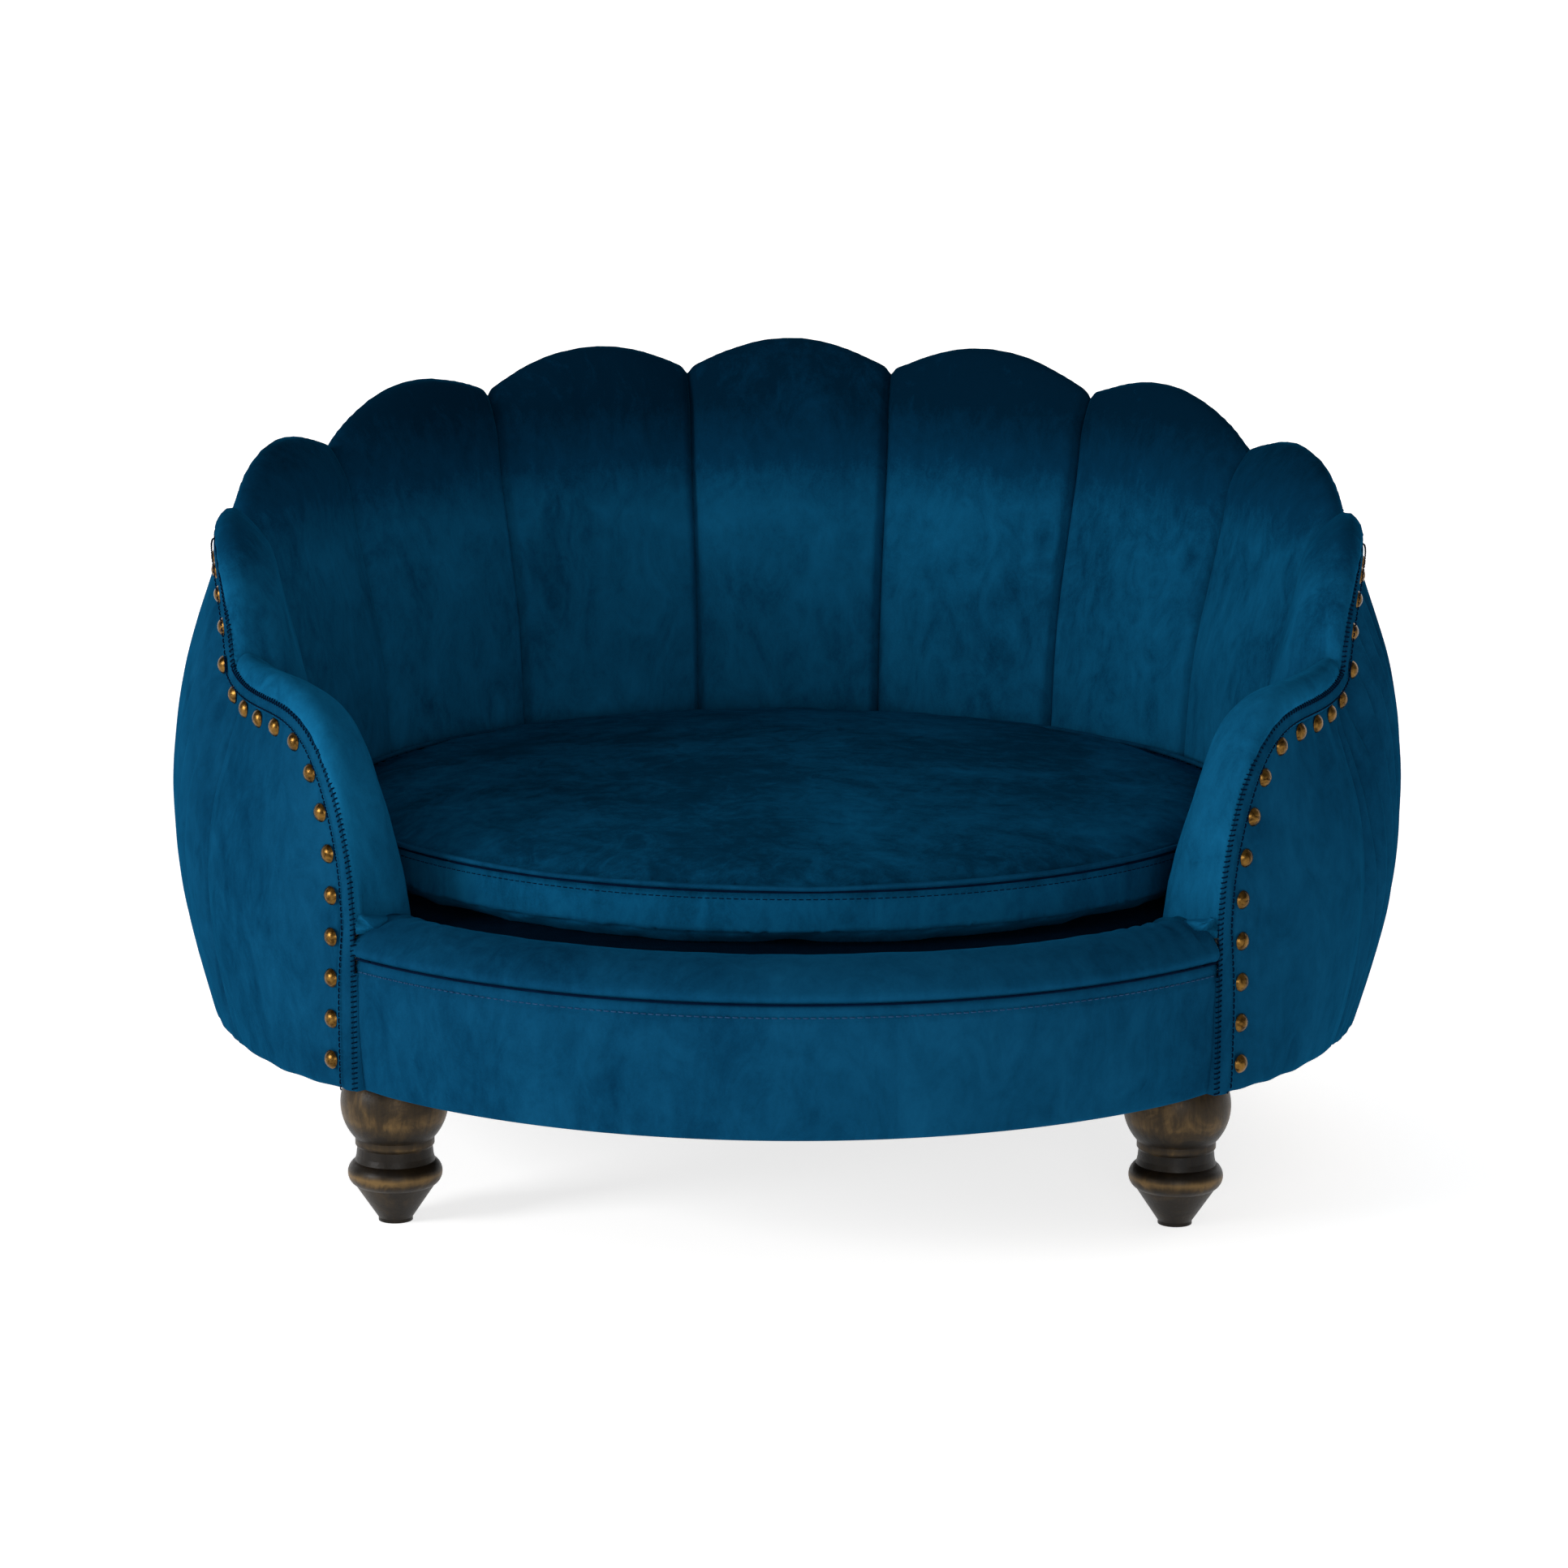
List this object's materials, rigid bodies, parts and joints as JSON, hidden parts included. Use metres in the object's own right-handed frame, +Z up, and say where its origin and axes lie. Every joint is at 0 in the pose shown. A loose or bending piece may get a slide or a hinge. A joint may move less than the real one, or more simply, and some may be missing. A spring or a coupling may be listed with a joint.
{
  "type": "pet bed",
  "caption": "Round pet sofa with a fluted, scalloped velvet tub wall on turned wooden feet, dome nails along the rim and a loose zipped seat cushion.",
  "frame": {"origin": "on the floor, under the middle of the outer box", "axes": "+X to the right as one faces the bed's open front, +Y to its back, +Z up"},
  "size_m": [0.7479, 0.725, 0.4544],
  "materials": {
    "velvet": "deep petrol-blue short-pile velvet with a brushed, mottled nap",
    "foam": "cream open-cell upholstery foam",
    "wadding": "white fibre wadding",
    "plywood": "raw birch plywood",
    "frame_timber": "planed softwood",
    "walnut": "dark walnut stain, satin, worn to golden brown on the high places",
    "antique_brass": "antiqued, satin",
    "zinc_steel": "bright zinc plate",
    "deck_cloth": "plain woven petrol-blue lining",
    "dust_cloth": "black non-woven cloth",
    "zip_tape": "petrol-blue woven tape",
    "zip_teeth": "petrol-blue nylon coil",
    "zip_metal": "antiqued, satin"
  },
  "bodies": {
    "root": {"arm_post_left": "frame_timber", "arm_post_right": "frame_timber", "base_board": "plywood", "deck_blocks": "frame_timber", "deck_board": "plywood", "deck_cover": "deck_cloth", "deck_foam": "foam", "dust_cover": "dust_cloth", "front_left_foot": "walnut", "front_rail_board": "plywood", "front_rail_face": "velvet", "front_rail_roll": "velvet", "front_right_foot": "walnut", "hanger_bolts": "zinc_steel", "left_petal_1": "velvet", "left_petal_2": "velvet", "left_petal_3": "velvet", "left_petal_4": "velvet", "left_petal_5": "velvet", "left_petal_foam_1": "foam", "left_petal_foam_2": "foam", "left_petal_foam_3": "foam", "left_petal_foam_4": "foam", "left_petal_foam_5": "foam", "middle_petal": "velvet", "middle_petal_foam": "foam", "nails_back": "antique_brass", "nails_left": "antique_brass", "nails_right": "antique_brass", "outer_cover_back": "velvet", "outer_cover_left": "velvet", "outer_cover_right": "velvet", "rear_left_foot": "walnut", "rear_right_foot": "walnut", "right_petal_1": "velvet", "right_petal_2": "velvet", "right_petal_3": "velvet", "right_petal_4": "velvet", "right_petal_5": "velvet", "right_petal_foam_1": "foam", "right_petal_foam_2": "foam", "right_petal_foam_3": "foam", "right_petal_foam_4": "foam", "right_petal_foam_5": "foam", "rim_strip": "velvet", "staples": "zinc_steel", "tee_nuts": "zinc_steel", "wadding_back": "wadding", "wadding_left": "wadding", "wadding_right": "wadding", "wall_board": "plywood"},
    "cushion": {"cushion_bottom_panel": "velvet", "cushion_foam": "foam", "cushion_side_band": "velvet", "cushion_top_panel": "velvet", "zip_tape": "zip_tape", "zip_teeth": "zip_teeth"},
    "slider": {"zip_slider": "zip_metal"},
    "pull": {"zip_pull": "zip_metal"}
  },
  "joints": [
    {"name": "cushion_lift", "type": "slide", "parent": "root", "child": "cushion", "axis": [0, 0, 1], "range_m": [0, 0.4]},
    {"name": "zip_slide", "type": "hinge", "parent": "cushion", "child": "slider", "pos_m": [0, -0.0115, 0.1993], "axis": [0, 0, 1], "range_deg": [0, 117]},
    {"name": "pull_swing", "type": "hinge", "parent": "slider", "child": "pull", "pos_m": [0.23652, 0.13344, 0.1993], "axis": [0, 0, -1], "range_deg": [0, 25]}
  ]
}
